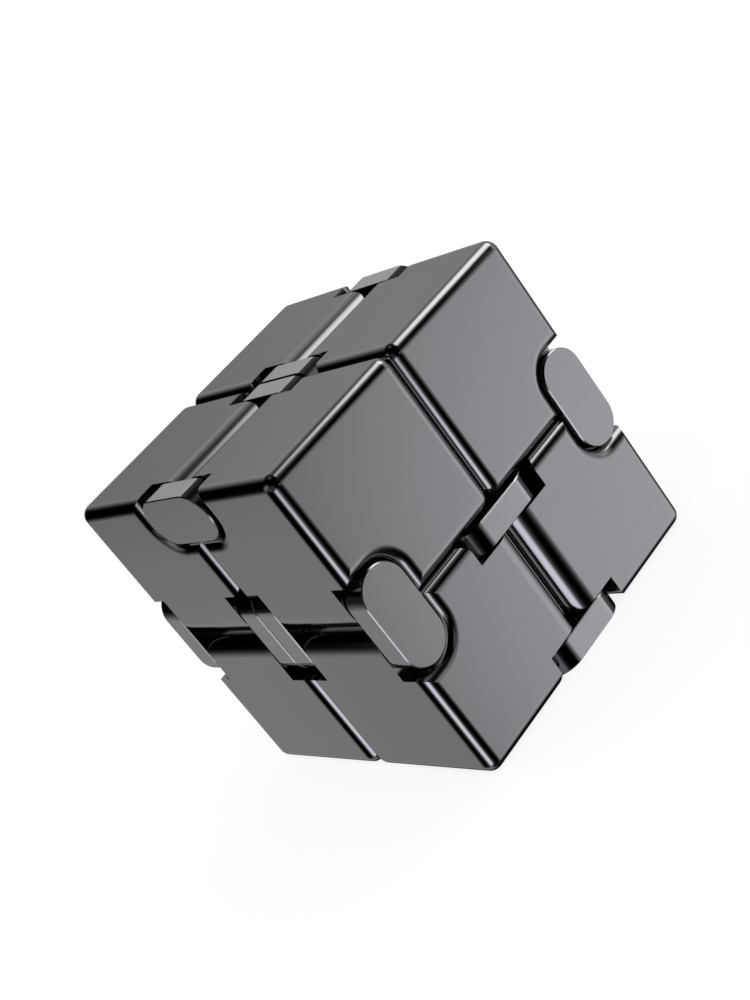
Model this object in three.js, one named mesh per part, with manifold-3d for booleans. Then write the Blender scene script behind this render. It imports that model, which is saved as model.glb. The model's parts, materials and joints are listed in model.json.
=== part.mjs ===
// Folding fidget cube (infinity cube): eight metal cubelets in one closed loop, joined by eight double-pin hinges.
// Millimetres, +Z up. The origin is the middle of the bottom face, the front is -Y and the right is +X.
import * as THREE from 'three';
import { mergeVertices } from 'three/addons/utils/BufferGeometryUtils.js';
import Module from 'manifold-3d';

// ---- driving dimensions (mm) ----
const CUBE = 40; // edge of the closed cube
const HALF = CUBE / 2;
const SEAM = 0.16; // gap between two closed cubelets
const PIN_OFFSET = 3.12; // pin axis to the middle of the seam, so a hinge's two pins are twice this apart
const PIN_DEPTH = PIN_OFFSET - SEAM / 2; // pin axis to the outer face: folded cubelets then meet as closed ones do
const PIN_RADIUS = 1;
const PIN_END_PLAY = 0.1; // pin end to the bottom of its socket
const BORE_RADIUS = 1.1; // a cubelet's pin bore and a plate's pin socket
const PLATE_RADIUS = PIN_DEPTH - 0.02; // the plate's long sides lie flush with the outer face
const PLATE_THICKNESS = 3.05;
const PLATE_INSET = 0.05; // plate face below the cubelet's end face
const PLATE_BEVEL = 0.12;
const SOCKET_DEPTH = 2;
const POCKET_RADIUS = 3.18; // pocket wall around the pin axis
const POCKET_DEPTH = 3.3;
const EDGE_FILLET = 1.45; // plain edges and pocket rims
const ROLLING_FILLET = 2.9; // edges that roll past each other along a line of folding

// ---- facets ----
const EDGE_STEPS = 3;
const ROLLING_STEPS = 5;
const POCKET_STEPS = 6;
const PLATE_STEPS = 8;
const PIN_SIDES = 16;

// ---- derived places, measured from the middle of the cube ----
const START = SEAM / 2; // where a cubelet begins; it ends at HALF
const HINGE_MIDDLE = (START + HALF) / 2;
const PLATE_FACE = (HALF - START) / 2 - PLATE_INSET; // hinge middle to a plate's outside face
const OVERRUN = 1; // how far a cutter reaches past the solid it cuts

const X = new THREE.Vector3(1, 0, 0);
const Y = new THREE.Vector3(0, 1, 0);
const Z = new THREE.Vector3(0, 0, 1);

const wasm = await Module();
wasm.setup();

// ---- between three.js geometry and solids ----
function toSolid(geometry) {
  geometry.deleteAttribute('normal');
  geometry.deleteAttribute('uv');
  const merged = mergeVertices(geometry, 1e-5);
  return new wasm.Manifold(new wasm.Mesh({
    numProp: 3,
    vertProperties: new Float32Array(merged.attributes.position.array),
    triVerts: new Uint32Array(merged.index.array),
  }));
}

function toGeometry(solid) {
  const mesh = solid.getMesh();
  const geometry = new THREE.BufferGeometry();
  geometry.setAttribute('position', new THREE.BufferAttribute(new Float32Array(mesh.vertProperties), 3));
  geometry.setIndex(new THREE.BufferAttribute(new Uint32Array(mesh.triVerts), 1));
  geometry.computeVertexNormals();
  return geometry;
}

// Place an indexed geometry by a matrix that may mirror it, with its faces still pointing out.
function placed(geometry, matrix) {
  geometry.applyMatrix4(matrix);
  if (matrix.determinant() < 0) {
    const index = geometry.index.array;
    for (let i = 0; i < index.length; i += 3) {
      [index[i], index[i + 1]] = [index[i + 1], index[i]];
    }
  }
  return geometry;
}

// ---- outlines ----
// Points of an arc around (x, y), both ends included, with its angles in quarter turns.
function arcPoints(x, y, radius, startQuarter, endQuarter, steps) {
  return Array.from({ length: steps + 1 }, (_, k) => {
    const angle = (startQuarter + ((endQuarter - startQuarter) * k) / steps) * (Math.PI / 2);
    return new THREE.Vector2(x + radius * Math.cos(angle), y + radius * Math.sin(angle));
  });
}

// A cubelet's square section. Its corner at high x and low y is a rolling edge, one of those that a fold turns over.
function cubeletSection() {
  const points = [];
  for (let quarter = 0; quarter < 4; quarter += 1) {
    const rolls = quarter === 3;
    const radius = rolls ? ROLLING_FILLET : EDGE_FILLET;
    const x = quarter === 0 || quarter === 3 ? HALF - radius : START + radius;
    const y = quarter < 2 ? HALF - radius : START + radius;
    points.push(...arcPoints(x, y, radius, quarter, quarter + 1, rolls ? ROLLING_STEPS : EDGE_STEPS));
  }
  return new THREE.Shape(points);
}

// A pocket's wall: x is the distance from the middle of the seam, y the distance from the outer face. It is round
// about the pin and runs straight out through both faces.
function pocketOutline(radius) {
  return [
    new THREE.Vector2(-OVERRUN, -OVERRUN),
    new THREE.Vector2(PIN_OFFSET + radius, -OVERRUN),
    ...arcPoints(PIN_OFFSET, PIN_DEPTH, radius, 0, 1, POCKET_STEPS),
    new THREE.Vector2(-OVERRUN, PIN_DEPTH + radius),
  ];
}

// ---- cubelet ----
// The square section as a bar, turned so that the drawing's x and y run along xAxis and yAxis.
function cubeletBar(xAxis, yAxis, lengthAxis) {
  const bar = new THREE.ExtrudeGeometry(cubeletSection(), { depth: HALF - START, bevelEnabled: false });
  const turn = new THREE.Matrix4().makeBasis(xAxis, yAxis, lengthAxis);
  return toSolid(bar.translate(0, 0, START).applyMatrix4(turn));
}

// The pocket cutter, with its floor at z = POCKET_DEPTH and the cubelet's end face at z = 0, where its mouth flares
// by the rim's fillet. It is a stack of outlines joined into one closed skin.
function pocketCutter() {
  const levels = [{ z: -OVERRUN, flare: EDGE_FILLET }];
  for (let k = 0; k <= EDGE_STEPS; k += 1) {
    const angle = ((k / EDGE_STEPS) * Math.PI) / 2;
    levels.push({ z: EDGE_FILLET * (1 - Math.cos(angle)), flare: EDGE_FILLET * (1 - Math.sin(angle)) });
  }
  levels.push({ z: POCKET_DEPTH, flare: 0 });

  const rings = levels.map(({ z, flare }) => pocketOutline(POCKET_RADIUS + flare).map((p) => [p.x, p.y, z]));
  const count = rings[0].length;
  const last = (rings.length - 1) * count;
  const triangles = [];
  for (let base = 0; base < last; base += count) {
    for (let k = 0; k < count; k += 1) {
      const a = base + k;
      const b = base + ((k + 1) % count);
      triangles.push(a, b, b + count, a, b + count, a + count);
    }
  }
  for (const [a, b, c] of THREE.ShapeUtils.triangulateShape(pocketOutline(POCKET_RADIUS), [])) {
    triangles.push(a, c, b, last + a, last + b, last + c);
  }
  const geometry = new THREE.BufferGeometry();
  geometry.setAttribute('position', new THREE.Float32BufferAttribute(rings.flat(2), 3));
  geometry.setIndex(triangles);
  return geometry;
}

// What one hinge takes out of a cubelet: a pocket at each end and the pin's bore. The directions run from the cube's
// middle to the hinge's outer face, over its seam, and along its pins.
function hingeCut(outer, across, along) {
  const inward = outer.clone().negate();
  const face = outer.clone().multiplyScalar(HALF);
  const cutPocket = (distance, direction) => {
    const origin = face.clone().addScaledVector(along, distance);
    const matrix = new THREE.Matrix4().makeBasis(across, inward, direction).setPosition(origin);
    return toSolid(placed(pocketCutter(), matrix));
  };
  const axis = face.clone().addScaledVector(inward, PIN_DEPTH).addScaledVector(across, PIN_OFFSET);
  const bore = new THREE.CylinderGeometry(BORE_RADIUS, BORE_RADIUS, 2 * CUBE, PIN_SIDES)
    .applyQuaternion(new THREE.Quaternion().setFromUnitVectors(Y, along))
    .translate(axis.x, axis.y, axis.z);
  return cutPocket(START, along)
    .add(cutPocket(HALF, along.clone().negate()))
    .add(toSolid(bore));
}

// The cubelet in the corner x, y, z > 0 of the cube's middle. One hinge is on its outer face +X at the seam y = 0,
// with the pin along Z. The other is on its outer face +Z at the seam x = 0, with the pin along Y. The third rolling
// edge, on its outer face +Y at the seam z = 0, has no hinge, but it lies on the line of two others' fold.
function cubeletGeometry() {
  const block = cubeletBar(X, Y, Z)
    .intersect(cubeletBar(Y, Z, X))
    .intersect(cubeletBar(Z, X, Y));
  return toGeometry(block.subtract(hingeCut(X, Y, Z)).subtract(hingeCut(Z, X, Y)));
}

// ---- hinge parts, in a hinge's own frame: x over the seam, y to the outer face, z along the pins ----
// A link plate with its outside face at z = 0, its body below and its pin sockets open downwards.
function plateGeometry() {
  const outline = new THREE.Shape([
    ...arcPoints(PIN_OFFSET, 0, PLATE_RADIUS, -1, 1, PLATE_STEPS),
    ...arcPoints(-PIN_OFFSET, 0, PLATE_RADIUS, 1, 3, PLATE_STEPS),
  ]);
  const blank = new THREE.ExtrudeGeometry(outline, {
    depth: PLATE_THICKNESS - 2 * PLATE_BEVEL,
    bevelThickness: PLATE_BEVEL,
    bevelSize: PLATE_BEVEL,
    bevelOffset: -PLATE_BEVEL,
    bevelSegments: 1,
  }).translate(0, 0, PLATE_BEVEL - PLATE_THICKNESS);
  const sockets = [-PIN_OFFSET, PIN_OFFSET].map((x) => toSolid(
    new THREE.CylinderGeometry(BORE_RADIUS, BORE_RADIUS, 2 * SOCKET_DEPTH, PIN_SIDES)
      .rotateX(Math.PI / 2)
      .translate(x, 0, -PLATE_THICKNESS),
  ));
  return toGeometry(toSolid(blank).subtract(sockets[0]).subtract(sockets[1]));
}

function pinGeometry(length) {
  return new THREE.CylinderGeometry(PIN_RADIUS, PIN_RADIUS, length, PIN_SIDES).rotateX(Math.PI / 2);
}

// ---- the assembly ----
const gunmetal = new THREE.MeshStandardMaterial({ color: 0x6f6f72, metalness: 1, roughness: 0.16 });
const linkMetal = new THREE.MeshStandardMaterial({ color: 0x7c7c80, metalness: 1, roughness: 0.2 });
const pinSteel = new THREE.MeshStandardMaterial({ color: 0xb4b4b8, metalness: 1, roughness: 0.3 });

const rightHanded = cubeletGeometry();
const leftHanded = placed(rightHanded.clone(), new THREE.Matrix4().makeScale(1, 1, -1));
leftHanded.computeVertexNormals();

const plate = plateGeometry();
const PIN_END = PLATE_FACE - PLATE_THICKNESS + SOCKET_DEPTH - PIN_END_PLAY; // hinge middle to a pin's end
const pin = pinGeometry(2 * PIN_END);
// The pin where the loop is opened stops inside its cubelet, clear of the plates that fold away from it.
const shortPin = pinGeometry(2 * (HINGE_MIDDLE - START - POCKET_DEPTH - PIN_END_PLAY));

const cube = new THREE.Group();
cube.position.z = HALF;

function addMesh(parent, name, geometry, material) {
  const mesh = new THREE.Mesh(geometry, material);
  mesh.name = name;
  parent.add(mesh);
  return mesh;
}

// The upper cubelets have their hinges on the top and on the side, the lower ones on the side and on the front or rear.
function addCubelet(right, rear, upper) {
  const name = `${upper > 0 ? 'upper' : 'lower'}_${rear > 0 ? 'rear' : 'front'}_${right > 0 ? 'right' : 'left'}`;
  const toSide = X.clone().multiplyScalar(right);
  const toDepth = Y.clone().multiplyScalar(rear);
  const toHeight = Z.clone().multiplyScalar(upper);
  const axes = upper > 0 ? [toHeight, toDepth, toSide] : [toSide, toHeight, toDepth];
  const turn = new THREE.Matrix4().makeBasis(...axes);
  const isMirrored = turn.determinant() < 0;
  if (isMirrored) {
    turn.makeBasis(axes[0], axes[1], axes[2].clone().negate());
  }
  const mesh = addMesh(cube, `cubelet_${name}`, isMirrored ? leftHanded : rightHanded, gunmetal);
  mesh.quaternion.setFromRotationMatrix(turn);
}

for (const upper of [1, -1]) {
  for (const rear of [-1, 1]) {
    for (const right of [-1, 1]) {
      addCubelet(right, rear, upper);
    }
  }
}

// Each hinge: the outer face it is on, the direction over its seam with the cubelets on that seam's low and high
// side, and the direction its pins run outwards from the middle of the cube.
const toLeft = X.clone().negate();
const toFront = Y.clone().negate();
const toBottom = Z.clone().negate();
const HINGES = [
  { name: 'left_front', outer: toLeft, across: Z, sides: ['lower', 'upper'], along: toFront },
  { name: 'left_rear', outer: toLeft, across: Z, sides: ['lower', 'upper'], along: Y },
  { name: 'right_front', outer: X, across: Z, sides: ['lower', 'upper'], along: toFront },
  { name: 'right_rear', outer: X, across: Z, sides: ['lower', 'upper'], along: Y },
  { name: 'top_left', outer: Z, across: Y, sides: ['front', 'rear'], along: toLeft },
  { name: 'top_right', outer: Z, across: Y, sides: ['front', 'rear'], along: X },
  { name: 'front_lower', outer: toFront, across: X, sides: ['left', 'right'], along: toBottom },
  { name: 'rear_lower', outer: Y, across: X, sides: ['left', 'right'], along: toBottom },
];
const OPEN_PIN = 'rear_lower_pin_right'; // where the closed loop of cubelets is opened

function addHinge({ name, outer, across, sides, along }) {
  const hinge = new THREE.Group();
  const zAxis = across.clone().cross(outer);
  hinge.quaternion.setFromRotationMatrix(new THREE.Matrix4().makeBasis(across, outer, zAxis));
  hinge.position.copy(outer).multiplyScalar(HALF - PIN_DEPTH).addScaledVector(along, HINGE_MIDDLE);
  cube.add(hinge);

  const outside = Math.sign(zAxis.dot(along));
  for (const [end, side] of [['outer', outside], ['inner', -outside]]) {
    const mesh = addMesh(hinge, `${name}_plate_${end}`, plate, linkMetal);
    mesh.position.z = side * PLATE_FACE;
    mesh.rotation.y = side > 0 ? 0 : Math.PI;
  }
  sides.forEach((side, k) => {
    const pinName = `${name}_pin_${side}`;
    const mesh = addMesh(hinge, pinName, pinName === OPEN_PIN ? shortPin : pin, pinSteel);
    mesh.position.x = k === 0 ? -PIN_OFFSET : PIN_OFFSET;
  });
}

HINGES.forEach(addHinge);

export default cube;
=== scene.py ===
"""Folding fidget cube: polished gunmetal cubelets, link plates and pins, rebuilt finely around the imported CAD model."""
import json
import math

import bpy
import numpy as np
from mathutils import Matrix, Vector


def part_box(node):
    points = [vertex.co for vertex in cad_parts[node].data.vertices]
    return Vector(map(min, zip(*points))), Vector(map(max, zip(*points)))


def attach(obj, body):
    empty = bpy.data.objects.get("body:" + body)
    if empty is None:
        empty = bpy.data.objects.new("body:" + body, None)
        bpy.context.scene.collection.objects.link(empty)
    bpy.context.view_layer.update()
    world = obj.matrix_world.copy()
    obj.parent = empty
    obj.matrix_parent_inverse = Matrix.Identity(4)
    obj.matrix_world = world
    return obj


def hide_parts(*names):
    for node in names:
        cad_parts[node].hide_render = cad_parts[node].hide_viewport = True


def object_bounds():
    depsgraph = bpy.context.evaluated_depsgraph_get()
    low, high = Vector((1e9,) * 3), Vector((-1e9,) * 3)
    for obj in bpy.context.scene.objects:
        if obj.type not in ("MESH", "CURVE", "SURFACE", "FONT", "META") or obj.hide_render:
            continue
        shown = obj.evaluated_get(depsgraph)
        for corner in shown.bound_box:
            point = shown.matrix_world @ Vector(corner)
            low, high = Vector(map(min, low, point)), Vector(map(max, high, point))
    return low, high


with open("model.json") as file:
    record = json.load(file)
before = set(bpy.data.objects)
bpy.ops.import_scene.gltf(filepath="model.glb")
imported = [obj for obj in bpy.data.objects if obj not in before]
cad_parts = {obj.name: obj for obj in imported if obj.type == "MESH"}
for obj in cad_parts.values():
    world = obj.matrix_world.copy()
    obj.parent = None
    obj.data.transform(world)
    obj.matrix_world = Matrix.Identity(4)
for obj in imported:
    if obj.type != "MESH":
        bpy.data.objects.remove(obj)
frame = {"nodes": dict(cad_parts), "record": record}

CAD_LOW, CAD_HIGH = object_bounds()
BODY_OF = {node: body for body, nodes in frame["record"]["behaviour"]["bodies"].items() for node in nodes}
MM = 0.001

# ---- dimensions in millimetres, measured from the middle of the cube where they are places ----
CENTRE = Vector([(a + b) / 2 for a, b in zip(CAD_LOW, CAD_HIGH)])
HALF = (CAD_HIGH[0] - CAD_LOW[0]) / MM / 2
SEAM = 0.16  # between cubelets
START = SEAM / 2  # where a cubelet starts
PIN_OFFSET = 3.12  # from a pin's axis to the middle of the seam
PIN_DEPTH = PIN_OFFSET - SEAM / 2  # from a pin's axis to the cube's face
PIN_RADIUS = 1.0
PIN_CHAMFER = 0.15
BORE_RADIUS = 1.1
PLATE_RADIUS = PIN_DEPTH - 0.02  # of its round ends: the plate is just below the cube's face
PLATE_THICKNESS = 3.05
PLATE_CHAMFER = 0.11
SOCKET_DEPTH = 2.0
POCKET_RADIUS = 3.18
POCKET_DEPTH = 3.3
EDGE_FILLET = 1.45
HINGE_FILLET = 2.9
OVERRUN = 1.0  # how far a cutter sticks out of what it cuts

# ---- facets ----
EDGE_STEPS = 16  # steps in a quarter turn, here and below
HINGE_STEPS = 24
POCKET_STEPS = 20
PLATE_STEPS = 24
ROUND_SIDES = 48  # of a whole pin, bore or socket

# ---- face kinds, kept through the booleans as material indices: the last four are a cubelet's pockets ----
SHELL, HINGE_1, HINGE_2, BORE_1, BORE_2, CHAMFER, FLAT, POCKET = range(8)
KIND_SLOTS = POCKET + 4
FITS = 0.9  # least cosine between a face's own normal and its true surface's

# ---- what the rim attribute says: the satin with a painted sheen on the top plates' rims, a painted shade on some round ends, or neither ----
RIM = "rim"
SATIN_WITH_PAINTED_SHEEN, PAINTED_SHADE, PLAIN = 1.0, -1.0, 0.0
SIDE_SATIN_WITH_PAINTED_SHEEN = 0.12  # the satin and its painted sheen, weaker, on the rims of the plates that aren't on top
PAINTED_SHADE_START = 3.7  # where the painted shade on the round ends starts, from the plate's middle, in millimetres
OFF_RIM = -1.0  # in place of that distance, on the plates' other faces


# ---------------------------------------------------------------- meshes from arrays
def new_object(name, points, faces, kind):
    """A mesh object whose faces have one kind, or a list with each face's own."""
    mesh = bpy.data.meshes.new(name)
    mesh.from_pydata([tuple(p) for p in points], [], faces)
    for _ in range(KIND_SLOTS):
        mesh.materials.append(None)
    mesh.polygons.foreach_set("material_index", np.broadcast_to(kind, len(faces)).astype(np.int32))
    mesh.update()
    obj = bpy.data.objects.new(name, mesh)
    bpy.context.scene.collection.objects.link(obj)
    return obj


def discard(obj):
    """Remove a mesh object and its mesh."""
    mesh = obj.data
    bpy.data.objects.remove(obj)
    bpy.data.meshes.remove(mesh)


def cut(obj, cutter):
    """Take cutter, which is used up, away from obj."""
    modifier = obj.modifiers.new("cut", "BOOLEAN")
    modifier.operation = "DIFFERENCE"
    modifier.solver = "MANIFOLD"
    modifier.object = cutter
    modifier.material_mode = "INDEX"
    depsgraph = bpy.context.evaluated_depsgraph_get()
    result = bpy.data.meshes.new_from_object(obj.evaluated_get(depsgraph))
    obj.modifiers.clear()
    old = obj.data
    obj.data = result
    bpy.data.meshes.remove(old)
    discard(cutter)


def take_arrays(obj):
    """(points, faces, kinds) of a mesh object, which is used up."""
    mesh = obj.data
    points = np.zeros(len(mesh.vertices) * 3)
    mesh.vertices.foreach_get("co", points)
    kinds = np.zeros(len(mesh.polygons), np.int32)
    mesh.polygons.foreach_get("material_index", kinds)
    faces = [tuple(p.vertices) for p in mesh.polygons]
    discard(obj)
    return points.reshape(-1, 3), faces, kinds


def stack(rings):
    """Points and faces of a closed skin through rings of equal length. Its last two faces are its flat ends."""
    count = len(rings[0])
    points = [p for ring in rings for p in ring]
    last = len(points) - count
    faces = []
    for base in range(0, last, count):
        for k in range(count):
            after = (k + 1) % count
            faces.append((base + k, base + after, base + after + count, base + k + count))
    return points, faces + [tuple(reversed(range(count))), tuple(range(last, last + count))]


def arc(x, y, radius, start, end, steps):
    """Points of an arc whose angles are in quarter turns."""
    angles = np.linspace(start, end, steps + 1) * math.pi / 2
    return [(x + radius * math.cos(a), y + radius * math.sin(a)) for a in angles]


def circle(x, y, radius):
    return arc(x, y, radius, 0, 4, ROUND_SIDES)[:-1]


def directions(vectors):
    """Each row of vectors at length 1, or left as it is where it has no length."""
    return vectors / np.maximum(np.linalg.norm(vectors, axis=1), 1e-9)[:, None]


def flat_normal(corners):
    return directions(np.cross(corners, np.roll(corners, -1, 0)).sum(0)[None, :])[0]


def flipped(faces):
    return [tuple(reversed(face)) for face in faces]


def on_axis(axis, level, a, b):
    """The point at level along axis, with a and b along the two axes after it, in that order."""
    p = [0, 0, 0]
    p[axis], p[(axis + 1) % 3], p[(axis + 2) % 3] = level, a, b
    return p


def prism_along(axis, outline, low, high):
    """A prism along axis, whose outline is drawn in the two axes after it, in that order."""
    return stack([[on_axis(axis, level, a, b) for a, b in outline] for level in (low, high)])


def round_normals(points, axis, centre, sign):
    """Normals away from (sign 1) or towards (sign -1) an axis through centre."""
    away = points - centre
    away[:, axis] = 0
    return sign * directions(away)


def corner_normals(points, faces, kinds, surfaces):
    """Normals at the corners of each face, from the true surface that the face's kind stands for."""
    out = []
    for face, kind in zip(faces, kinds):
        corners = points[list(face)]
        flat = flat_normal(corners)
        smooth = surfaces[kind](corners) if kind in surfaces else flat[None, :].repeat(len(face), 0)
        # a pocket's floor, a flat end or a sliver that the booleans left keeps its own flat normal
        out.append(np.where((smooth @ flat > FITS)[:, None], smooth, flat))
    return out


# ---------------------------------------------------------------- cubelet
def rounded_box(low, high, radius, steps):
    """A cube from low to high on each axis, with round edges and ball corners."""
    half = steps // 2
    # the lines of a side's grid: where the centre of each one's fillet is, and the tangent of how far it leans out
    tangents = [math.tan(math.pi / 4 * (half - i) / half) for i in range(half + 1)]
    grid = [(low + radius, -t) for t in tangents] + [(high - radius, t) for t in reversed(tangents)]
    points, faces, index = [], [], {}
    for axis in range(3):
        for side in (-1, 1):
            lattice = {}
            for i, (centre_i, lean_i) in enumerate(grid):
                for j, (centre_j, lean_j) in enumerate(grid):
                    away = Vector((lean_i, lean_j, 1)).normalized() * radius
                    level = high - radius + away[2] if side > 0 else low + radius - away[2]
                    p = on_axis(axis, level, centre_i + away[0], centre_j + away[1])
                    # the sides share the points on the edges between them
                    key = tuple(round(v, 6) for v in p)
                    if key not in index:
                        index[key] = len(points)
                        points.append(p)
                    lattice[i, j] = index[key]
            for i in range(len(grid) - 1):
                for j in range(len(grid) - 1):
                    quad = [lattice[i, j], lattice[i + 1, j], lattice[i + 1, j + 1], lattice[i, j + 1]]
                    faces.append(tuple(quad if side > 0 else reversed(quad)))
    return points, faces


def hinge_edge_outline():
    """Outline of what a hinge fillet takes off the corner at high x and low y."""
    fillet = arc(HALF - HINGE_FILLET, START + HINGE_FILLET, HINGE_FILLET, 3, 4, HINGE_STEPS)
    return [
        (HALF + OVERRUN, START - OVERRUN),
        (HALF + OVERRUN, START + HINGE_FILLET),
        *reversed(fillet),
        (HALF - HINGE_FILLET, START - OVERRUN),
    ]


def pocket_outline(radius):
    """Outline of half a pocket of that radius about the pin, drawn as Pocket says and open over the seam."""
    return (
        [(-OVERRUN, -OVERRUN), (PIN_OFFSET + radius, -OVERRUN)]
        + arc(PIN_OFFSET, PIN_DEPTH, radius, 0, 1, POCKET_STEPS)
        + [(-OVERRUN, PIN_DEPTH + radius)]
    )


def pocket_levels():
    """(depth, flare) down a pocket: the fillet on its rim widens its mouth."""
    rim = arc(EDGE_FILLET, EDGE_FILLET, EDGE_FILLET, 2, 3, EDGE_STEPS)
    return [(-OVERRUN, EDGE_FILLET), *rim, (POCKET_DEPTH, 0)]


class Pocket:
    """One end of a hinge in the canonical cubelet: x over the seam, y in from the outer face, z in from the end."""

    def __init__(self, across, outer, along, at_start):
        self.turn = np.zeros((3, 3))
        self.turn[across, 0] = 1
        self.turn[outer, 1] = -1
        self.turn[along, 2] = 1 if at_start else -1
        self.origin = np.zeros(3)
        self.origin[outer] = HALF
        self.origin[along] = START if at_start else HALF

    def cutter(self):
        rings = [
            [self.origin + self.turn @ (x, y, z) for x, y in pocket_outline(POCKET_RADIUS + flare)]
            for z, flare in pocket_levels()
        ]
        points, faces = stack(rings)
        return points, flipped(faces) if np.linalg.det(self.turn) < 0 else faces

    def normals(self, points):
        """The metal's outward normals at points on this pocket's wall or rim."""
        p = (points - self.origin) @ self.turn
        from_pin = np.maximum(p[:, :2] - (PIN_OFFSET, PIN_DEPTH), 0)
        distance = np.linalg.norm(from_pin, axis=1)
        # (away from the pin, in from the cubelet's end): round on the rim, straight at the pin on the wall below it
        lean = np.stack([distance - POCKET_RADIUS - EDGE_FILLET, p[:, 2] - EDGE_FILLET], 1)
        lean[p[:, 2] > EDGE_FILLET] = (-1, 0)
        lean = directions(lean)
        return np.concatenate([directions(from_pin) * lean[:, :1], lean[:, 1:]], 1) @ self.turn.T


def shell_normals(points):
    """Outward normals of the rounded box."""
    return directions(points - np.clip(points, START + EDGE_FILLET, HALF - EDGE_FILLET))


def make_cubelet():
    """The cubelet in the corner x, y, z > 0: hinge 1 on its face +X at the seam y = 0 with its pin along Z, hinge 2 on
    its face +Z at the seam x = 0 with its pin along Y. Returns (points, faces, normals at the faces' corners, rim)."""
    body = new_object("cubelet", *rounded_box(START, HALF, EDGE_FILLET, EDGE_STEPS), SHELL)
    reach = (START - OVERRUN, HALF + OVERRUN)
    # along Z the outlines' axes are X and Y, along Y they are Z and X
    for axis, kind in ((2, HINGE_1), (1, HINGE_2)):
        cut(body, new_object("hinge_edge", *prism_along(axis, hinge_edge_outline(), *reach), kind))
    pockets = [Pocket(1, 0, 2, True), Pocket(1, 0, 2, False), Pocket(0, 2, 1, True), Pocket(0, 2, 1, False)]
    for k, pocket in enumerate(pockets):
        cut(body, new_object("pocket", *pocket.cutter(), POCKET + k))
    bore = circle(HALF - PIN_DEPTH, PIN_OFFSET, BORE_RADIUS)
    for axis, kind in ((2, BORE_1), (1, BORE_2)):
        cut(body, new_object("bore", *prism_along(axis, bore, *reach), kind))

    points, faces, kinds = take_arrays(body)
    fillet_1 = np.array((HALF - HINGE_FILLET, START + HINGE_FILLET, 0))
    fillet_2 = np.array((START + HINGE_FILLET, 0, HALF - HINGE_FILLET))
    pin_1 = np.array((HALF - PIN_DEPTH, PIN_OFFSET, 0))
    pin_2 = np.array((PIN_OFFSET, 0, HALF - PIN_DEPTH))
    surfaces = {
        SHELL: shell_normals,
        HINGE_1: lambda p: round_normals(p, 2, fillet_1, 1),
        HINGE_2: lambda p: round_normals(p, 1, fillet_2, 1),
        BORE_1: lambda p: round_normals(p, 2, pin_1, -1),
        BORE_2: lambda p: round_normals(p, 1, pin_2, -1),
    }
    for k, pocket in enumerate(pockets):
        surfaces[POCKET + k] = pocket.normals
    return points, faces, corner_normals(points, faces, kinds, surfaces), np.full(len(faces), PLAIN)


# ---------------------------------------------------------------- plates and pins
def stadium(radius, z):
    """The outline of a plate at z, with round ends of that radius about the pins."""
    right = arc(PIN_OFFSET, 0, radius, -1, 1, 2 * PLATE_STEPS)
    left = arc(-PIN_OFFSET, 0, radius, 1, 3, 2 * PLATE_STEPS)
    return [(x, y, z) for x, y in right + left]


def chamfered(low, high, radius, chamfer):
    """(level, radius) up a solid whose two ends are chamfered."""
    return ((low, radius - chamfer), (low + chamfer, radius), (high - chamfer, radius), (high, radius - chamfer))


def make_plate():
    """A link plate with its outside face at z = 0 and its body below: chamfered edges, and two blind sockets below.
    Returns (points, faces, normals at the faces' corners, how far a rim's face is from the middle or OFF_RIM)."""
    rings = [stadium(radius, z) for z, radius in chamfered(-PLATE_THICKNESS, 0, PLATE_RADIUS, PLATE_CHAMFER)]
    around = len(rings[0])
    kinds = [CHAMFER] * around + [SHELL] * around + [CHAMFER] * around + [FLAT, FLAT]
    plate = new_object("plate", *stack(rings), kinds)
    for kind, x in ((BORE_1, -PIN_OFFSET), (BORE_2, PIN_OFFSET)):
        bottom = (-PLATE_THICKNESS - OVERRUN, SOCKET_DEPTH - PLATE_THICKNESS)
        cut(plate, new_object("socket", *prism_along(2, circle(x, 0, BORE_RADIUS), *bottom), kind))
    points, faces, kinds = take_arrays(plate)

    def rim(p):
        return directions(np.stack([p[:, 0] - np.clip(p[:, 0], -PIN_OFFSET, PIN_OFFSET), p[:, 1], 0 * p[:, 0]], 1))

    def chamfer(p):
        up = np.sign(p[:, 2:] + PLATE_THICKNESS / 2) * (0, 0, 1)
        return directions(rim(p) + up)

    surfaces = {
        SHELL: rim,
        CHAMFER: chamfer,
        BORE_1: lambda p: round_normals(p, 2, np.array((-PIN_OFFSET, 0, 0)), -1),
        BORE_2: lambda p: round_normals(p, 2, np.array((PIN_OFFSET, 0, 0)), -1),
    }
    reach = np.array([abs(points[list(face), 0].mean()) for face in faces])
    reach[kinds != SHELL] = OFF_RIM
    return points, faces, corner_normals(points, faces, kinds, surfaces), reach


def plate_finish(node, reach):
    """What the rim attribute says on each face of a plate, from make_plate's last result. The round ends get a painted
    shade, near black, on all plates but the outer ones of the two doors; the other rim faces get the satin with its
    painted sheen, full on the top plates."""
    finish = np.where(reach == OFF_RIM, PLAIN, SATIN_WITH_PAINTED_SHEEN if node.startswith("top_") else SIDE_SATIN_WITH_PAINTED_SHEEN)
    if not node.endswith(("front_plate_outer", "rear_plate_outer")):
        finish[reach > PAINTED_SHADE_START] = PAINTED_SHADE
    return finish


def make_pin(length):
    """A pin along z, about the origin, chamfered at both ends. Returns what make_cubelet does."""
    levels = chamfered(-length / 2, length / 2, PIN_RADIUS, PIN_CHAMFER)
    points, faces = stack([[(x, y, z) for x, y in circle(0, 0, radius)] for z, radius in levels])
    points = np.array(points)
    normals = []
    for face in faces:
        corners = points[list(face)]
        flat = flat_normal(corners)
        around = round_normals(corners, 2, np.zeros(3), 1)
        # as steep as the face is, but round about the pin; the last two faces are the flat ends
        smooth = around * math.hypot(flat[0], flat[1]) + np.array((0, 0, flat[2]))
        normals.append(smooth if face not in faces[-2:] else np.tile(flat, (len(face), 1)))
    return points, faces, normals, np.full(len(faces), PLAIN)


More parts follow.
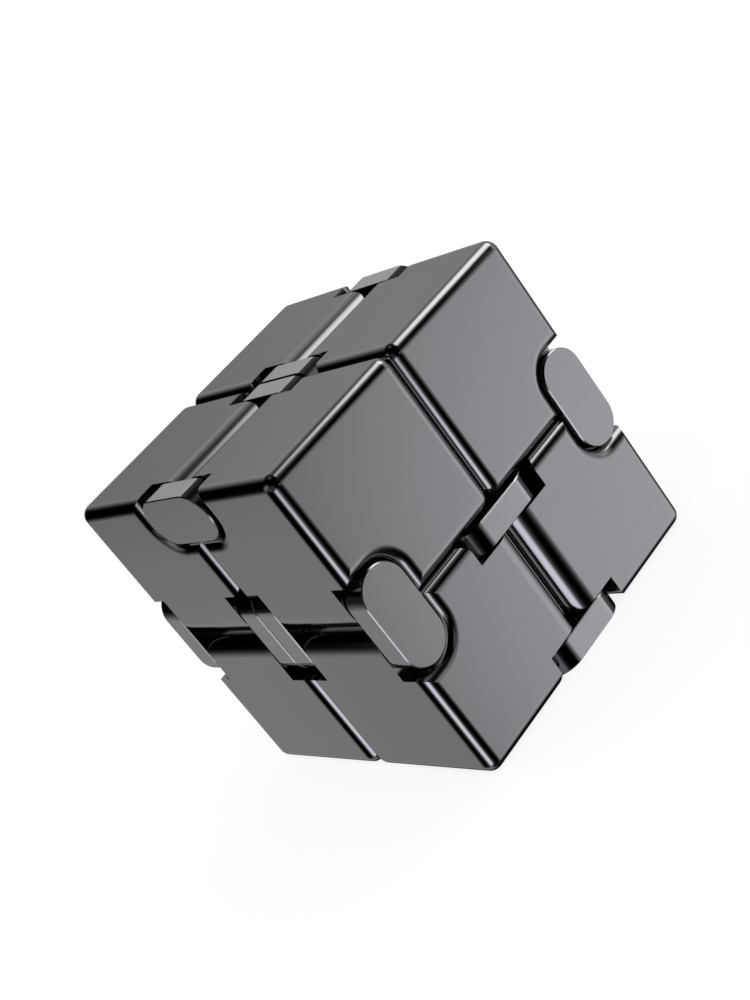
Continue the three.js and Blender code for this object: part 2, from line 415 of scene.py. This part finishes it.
# ---------------------------------------------------------------- placing
def place(node, suffix, shape, turn, origin, material):
    """A new piece for a CAD node: shape turned by a matrix that may mirror it, and moved to origin, in millimetres."""
    points, faces, normals, rim = shape
    points = (points @ turn.T + np.array(origin)) * MM + np.array(CENTRE)
    if np.linalg.det(turn) < 0:
        faces = flipped(faces)
        normals = [n[::-1] for n in normals]
    mesh = bpy.data.meshes.new(f"{node}_{suffix}")
    mesh.from_pydata([tuple(p) for p in points], [], faces)
    mesh.polygons.foreach_set("use_smooth", np.ones(len(faces), bool))
    mesh.attributes.new(RIM, "FLOAT", "FACE").data.foreach_set("value", np.array(rim, np.float32))
    mesh.update()
    mesh.normals_split_custom_set(np.concatenate(normals) @ turn.T)
    mesh.materials.append(material)
    piece = bpy.data.objects.new(f"{node}_{suffix}", mesh)
    bpy.context.scene.collection.objects.link(piece)
    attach(piece, BODY_OF[node])
    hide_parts(node)


def unit(axis, sign=1):
    """The direction of an axis, or against it where sign is -1."""
    v = np.zeros(3)
    v[axis] = sign
    return v


def node_box(node):
    """(middle, size) of a CAD node in millimetres from the middle of the cube."""
    low, high = (np.array(v - CENTRE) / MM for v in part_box(node))
    return (low + high) / 2, high - low


# ---------------------------------------------------------------- materials
class Nodes:
    """Short calls that add nodes to one tree. An input may be a socket, which is linked, or a value."""

    def __init__(self, tree):
        self.tree = tree
        tree.nodes.clear()

    def add(self, kind, inputs=(), **settings):
        node = self.tree.nodes.new(kind)
        for key, value in settings.items():
            setattr(node, key, value)
        for key, value in dict(inputs).items():
            if isinstance(value, bpy.types.NodeSocket):
                self.tree.links.new(value, node.inputs[key])
            else:
                node.inputs[key].default_value = value
        return node

    def math(self, operation, a, b=0.0, clamp=False):
        return self.add("ShaderNodeMath", {0: a, 1: b}, operation=operation, use_clamp=clamp).outputs[0]

    def vector(self, operation, a, b):
        """A vector operation's node, whose outputs are Vector and Value. What SCALE scales by is the node's input 3."""
        return self.add("ShaderNodeVectorMath", {0: a, 3 if operation == "SCALE" else 1: b}, operation=operation)

    def total(self, *values):
        """The sum of two values or more."""
        out = values[0]
        for value in values[1:]:
            out = self.math("ADD", out, value)
        return out

    def ramp(self, value, low, high, to_low=0.0, to_high=1.0):
        """value as it goes from low to high, made to go smoothly from to_low to to_high."""
        inputs = {"Value": value, "From Min": low, "From Max": high, "To Min": to_low, "To Max": to_high}
        return self.add("ShaderNodeMapRange", inputs, interpolation_type="SMOOTHSTEP").outputs[0]

    def mix(self, factor, a, b):
        """A colour between a and b, each a socket or three numbers."""
        a, b = (v if isinstance(v, bpy.types.NodeSocket) else (*v, 1.0) for v in (a, b))
        # the colour sockets of a Mix node are its inputs 6 and 7 and its output 2
        return self.add("ShaderNodeMix", {0: factor, 6: a, 7: b}, data_type="RGBA").outputs[2]

    def noise(self, vector, scale, detail):
        return self.add("ShaderNodeTexNoise", {"Vector": vector, "Scale": scale, "Detail": detail}).outputs["Fac"]


# noises: scale in cycles per metre, and detail
CLOUD = (90.0, 3.0)
FINE = (900.0, 2.0)
WEAR = (420.0, 3.0)
CLOUD_TONE = 0.035  # how far the clouding takes the colour, each way
CLOUD_GLOSS = 0.15  # and the roughness
CLOUD_RANGE = (0.3, 0.7)  # the noise that takes the roughness all the way
# scratches: noise drawn out along two directions, cut off so that few are left
SCRATCH_TURNS = ((0.3, 0.2, 0.5), (1.2, -0.4, 2.1))
SCRATCH_SCALE = (60.0, 2600.0, 2600.0)
SCRATCH_CUT = (0.66, 0.74)
SCRATCH_ROUGHNESS = 0.05
# wear: where the normal bends within a small radius, in metres
WEAR_RADIUS = 0.00016
WEAR_SHARPNESS = (0.995, 0.90)  # the cosine of that bend where wear starts, and where it is full
WEAR_PATCHES = (0.35, 0.65)  # the noise where wear starts, and where it is full
WEAR_TONE = 0.45
WEAR_ROUGHNESS = 0.08
# the plates' rims: a satin roughness, with a painted sheen and a painted shade in their colour
SATIN_ROUGHNESS = 0.17
PAINTED_SHADE_GAIN = 0.16  # what the painted shade on the round ends leaves of the metal's colour
# relief: fine grain that stands up, and scratches that go in
RELIEF_FINE, RELIEF_SCRATCH = 0.15, 0.35
RELIEF_STRENGTH, RELIEF_DEPTH = 0.02, 0.00001


def times(colour, gain):
    return [c * gain for c in colour]


def metal(name, colour, roughness, wear_colour, painted_sheen_gain=None):
    """Polished metal: faint clouding of its colour and gloss, fine scratches, and a brighter line of wear on its edges.
    The last argument is for the plates, whose rims have finishes of their own: how much brighter the satin is, a
    painted sheen, and with it a painted shade, near black, on some round ends."""
    material = bpy.data.materials.new(name)
    material.use_nodes = True
    n = Nodes(material.node_tree)
    position = n.add("ShaderNodeTexCoord").outputs["Object"]
    cloud = n.noise(position, *CLOUD)
    scratches = []
    for turn in SCRATCH_TURNS:
        mapping = {"Vector": position, "Rotation": turn, "Scale": SCRATCH_SCALE}
        drawn_out = n.add("ShaderNodeMapping", mapping).outputs[0]
        scratches.append(n.ramp(n.noise(drawn_out, 1.0, 1.0), *SCRATCH_CUT))
    scratched = n.math("MAXIMUM", *scratches)
    bent = n.add("ShaderNodeBevel", {"Radius": WEAR_RADIUS}, samples=4).outputs[0]
    true = n.add("ShaderNodeNewGeometry").outputs["Normal"]
    straight = n.vector("DOT_PRODUCT", bent, true).outputs["Value"]
    worn = n.math("MULTIPLY", n.ramp(straight, *WEAR_SHARPNESS), n.ramp(n.noise(position, *WEAR), *WEAR_PATCHES))

    tone = n.mix(cloud, times(colour, 1 - CLOUD_TONE), times(colour, 1 + CLOUD_TONE))
    gloss = [
        n.ramp(cloud, *CLOUD_RANGE, roughness * (1 - CLOUD_GLOSS), roughness * (1 + CLOUD_GLOSS)),
        n.math("MULTIPLY", scratched, SCRATCH_ROUGHNESS),
        n.math("MULTIPLY", worn, WEAR_ROUGHNESS),
    ]
    if painted_sheen_gain:
        rim = n.add("ShaderNodeAttribute", attribute_name=RIM).outputs["Fac"]
        satin_and_sheen = n.math("MAXIMUM", rim, PLAIN)
        # painted sheen: the satin rims' colour is made brighter
        tone = n.mix(satin_and_sheen, tone, times(colour, painted_sheen_gain))
        # painted shade: the round ends' colour is taken nearly to black
        tone = n.mix(n.math("MULTIPLY", rim, PAINTED_SHADE, clamp=True), tone, times(colour, PAINTED_SHADE_GAIN))
        gloss.append(n.math("MULTIPLY", satin_and_sheen, SATIN_ROUGHNESS))
    tone = n.mix(n.math("MULTIPLY", worn, WEAR_TONE), tone, wear_colour)
    fine = n.math("MULTIPLY", n.noise(position, *FINE), RELIEF_FINE)
    relief = n.math("SUBTRACT", fine, n.math("MULTIPLY", scratched, RELIEF_SCRATCH))
    bump = {"Height": relief, "Strength": RELIEF_STRENGTH, "Distance": RELIEF_DEPTH}
    inputs = {
        "Base Color": tone,
        "Metallic": 1.0,
        "Roughness": n.total(*gloss),
        "Normal": n.add("ShaderNodeBump", bump).outputs[0],
    }
    n.add("ShaderNodeOutputMaterial", {"Surface": n.add("ShaderNodeBsdfPrincipled", inputs).outputs[0]})
    return material


GUNMETAL = metal("gunmetal_polished", (0.43, 0.43, 0.434), 0.12, (0.62, 0.62, 0.64))
# the link plates' rims carry a painted sheen, twice as bright, and some round ends a painted shade
LINK_METAL = metal("gunmetal_link", (0.46, 0.46, 0.463), 0.13, (0.68, 0.68, 0.69), painted_sheen_gain=2.0)
PIN_STEEL = metal("pin_steel", (0.62, 0.62, 0.63), 0.24, (0.72, 0.72, 0.73))

# ---------------------------------------------------------------- the pieces
cubelet = make_cubelet()
*plate, plate_reach = make_plate()
for node in sorted(frame["nodes"]):
    middle, size = node_box(node)
    if node.startswith("cubelet_"):
        # where the canonical x, y and z point: hinge 1 is on the cube's side in a lower cubelet, and on top in an upper
        side, depth, height = (unit(k, np.sign(middle[k])) for k in range(3))
        axes = (height, depth, side) if middle[2] > 0 else (side, height, depth)
        place(node, "body", cubelet, np.array(axes).T, (0, 0, 0), GUNMETAL)
    elif "_plate_" in node:
        thin = int(np.argmin(size))
        sign = np.sign(middle[thin]) * (1 if node.endswith("outer") else -1)
        outside, lengthwise = unit(thin, sign), unit(int(np.argmax(size)))
        turn = np.array((lengthwise, np.cross(outside, lengthwise), outside)).T
        shape = (*plate, plate_finish(node, plate_reach))
        origin = middle + outside * size[thin] / 2
        place(node, "link", shape, turn, origin, LINK_METAL)
    else:
        axis = int(np.argmax(size))
        turn = np.array((unit((axis + 1) % 3), unit((axis + 2) % 3), unit(axis))).T
        place(node, "rod", make_pin(size[axis]), turn, middle, PIN_STEEL)

# ---------------------------------------------------------------- camera
CAMERA_PLACE = (-0.08748, -0.14410, 0.08389)
CAMERA_TARGET = (0.00070, 0.00030, 0.02169)
CAMERA_ROLL = math.radians(-37.383)  # the photographed cube stands on a corner
SENSOR_WIDTH, FOCAL_LENGTH = 36, 57.2214

camera_data = bpy.data.cameras.new("camera")
camera_data.sensor_width = SENSOR_WIDTH
camera_data.lens = FOCAL_LENGTH
camera = bpy.data.objects.new("camera", camera_data)
bpy.context.scene.collection.objects.link(camera)
forward = Vector(CAMERA_TARGET) - Vector(CAMERA_PLACE)
level = forward.to_track_quat("-Z", "Y").to_matrix().to_4x4()
camera.matrix_world = Matrix.Translation(CAMERA_PLACE) @ level @ Matrix.Rotation(CAMERA_ROLL, 4, "Z")
bpy.context.scene.camera = camera

# ---------------------------------------------------------------- studio
BASE = 0.32  # light from every side, which panels add to and flags take from
WHITE, COOL, LILAC = (1.0, 1.0, 1.0), (0.98, 0.96, 1.12), (1.0, 0.97, 1.10)
# (azimuth from +X towards +Y, elevation, radius of the full part, radius at which it has faded out, strength, tint)
PANELS = [
    # what the photo's faces and edges reflect
    (-15, 42, 1, 23, 1.72, WHITE),
    (-147, -27, 1, 18, 1.02, COOL),
    (-38, -30, 1, 27, 0.44, LILAC),
    (57, 32, 4, 19, 0.10, WHITE),
    (106, -18, 3, 22, 0.035, WHITE),
    # what other views need
    (0, 90, 3, 11, 0.16, WHITE),
    (-90, 2, 3, 11, 0.14, WHITE),
    (180, 2, 3, 11, 0.14, WHITE),
    (47, -10, 3, 17, 0.22, WHITE),
    (-37, 12, 3, 15, 0.22, WHITE),
    (138, 14, 3, 14, 0.14, WHITE),
]
# the same without a tint; strength is how much of the base light a flag takes
FLAGS = [
    (116, 19, 14, 40, 1.0),
    (-57, 22, 1, 29, 1.0),
    (166, -19, 8, 42, 1.0),
    (-98, -26, 4, 37, 1.0),
    (17, 70, 3, 23, 0.85),
    (-106, 17, 26, 42, 1.0),
    (-150, 60, 25, 48, 1.0),
    (12, -67, 3, 39, 1.0),
    (-165, 4, 23, 32, 0.83),
    (20, -24, 12, 27, 1.0),
    (68, -38, 4, 20, 0.9),
    (-105, -58, 12, 38, 0.95),
    (70, -65, 5, 35, 0.9),
    (82, 60, 8, 27, 0.9),
    (132, 50, 10, 30, 1.0),
    (-75, 52, 12, 27, 1.0),
    (-30, 78, 6, 20, 1.0),
    (68, -2, 2, 22, 0.45),
]
BACKDROP = (1.0, 1.0, 1.0)  # behind the object, and lighting the floor
FLOOR_SIZE = 6.0
FLOOR_GAP = 0.00002  # under the object
FLOOR_GREY = 0.17
FLOOR_GLOW = 0.86

world = bpy.data.worlds.new("studio")
world.use_nodes = True
bpy.context.scene.world = world
w = Nodes(world.node_tree)
towards = w.add("ShaderNodeTexCoord").outputs["Generated"]


def lobe(azimuth, elevation, inner, outer):
    """A soft disc in the sky: 1 within inner degrees of its middle, 0 past outer degrees."""
    a, e, inner, outer = (math.radians(v) for v in (azimuth, elevation, inner, outer))
    middle = (math.cos(a) * math.cos(e), math.sin(a) * math.cos(e), math.sin(e))
    return w.ramp(w.vector("DOT_PRODUCT", towards, middle).outputs["Value"], math.cos(outer), math.cos(inner))


shade = 1.0
for *disc, strength in FLAGS:
    left = w.math("SUBTRACT", 1.0, w.math("MULTIPLY", lobe(*disc), strength))
    shade = w.math("MULTIPLY", shade, left)
light = w.vector("SCALE", (BASE, BASE, BASE), shade).outputs[0]
for *disc, strength, tint in PANELS:
    glow = w.vector("SCALE", times(tint, strength), lobe(*disc)).outputs[0]
    light = w.vector("ADD", light, glow).outputs[0]
studio = w.add("ShaderNodeBackground", {"Color": light, "Strength": 1.0}).outputs[0]
backdrop = w.add("ShaderNodeBackground", {"Color": (*BACKDROP, 1.0), "Strength": 1.0}).outputs[0]
rays = w.add("ShaderNodeLightPath").outputs
plain = w.math("MAXIMUM", rays["Is Camera Ray"], rays["Is Diffuse Ray"])
mixed = w.add("ShaderNodeMixShader", {0: plain, 1: studio, 2: backdrop}).outputs[0]
w.add("ShaderNodeOutputWorld", {"Surface": mixed})

# the floor is seen and lit, but it isn't reflected in the metal
floor_place = (0, 0, CAD_LOW[2] - FLOOR_GAP)
bpy.ops.mesh.primitive_grid_add(x_subdivisions=2, y_subdivisions=2, size=FLOOR_SIZE, location=floor_place)
floor = bpy.context.object
floor.name = "floor"
floor.visible_glossy = False
paper = bpy.data.materials.new("paper")
paper.use_nodes = True
p = Nodes(paper.node_tree)
diffuse = p.add("ShaderNodeBsdfDiffuse", {"Color": (FLOOR_GREY, FLOOR_GREY, FLOOR_GREY, 1.0)}).outputs[0]
emission = p.add("ShaderNodeEmission", {"Color": (1.0, 1.0, 1.0, 1.0), "Strength": FLOOR_GLOW}).outputs[0]
p.add("ShaderNodeOutputMaterial", {"Surface": p.add("ShaderNodeAddShader", {0: diffuse, 1: emission}).outputs[0]})
floor.data.materials.append(paper)

bpy.context.scene.view_settings.view_transform = "Standard"
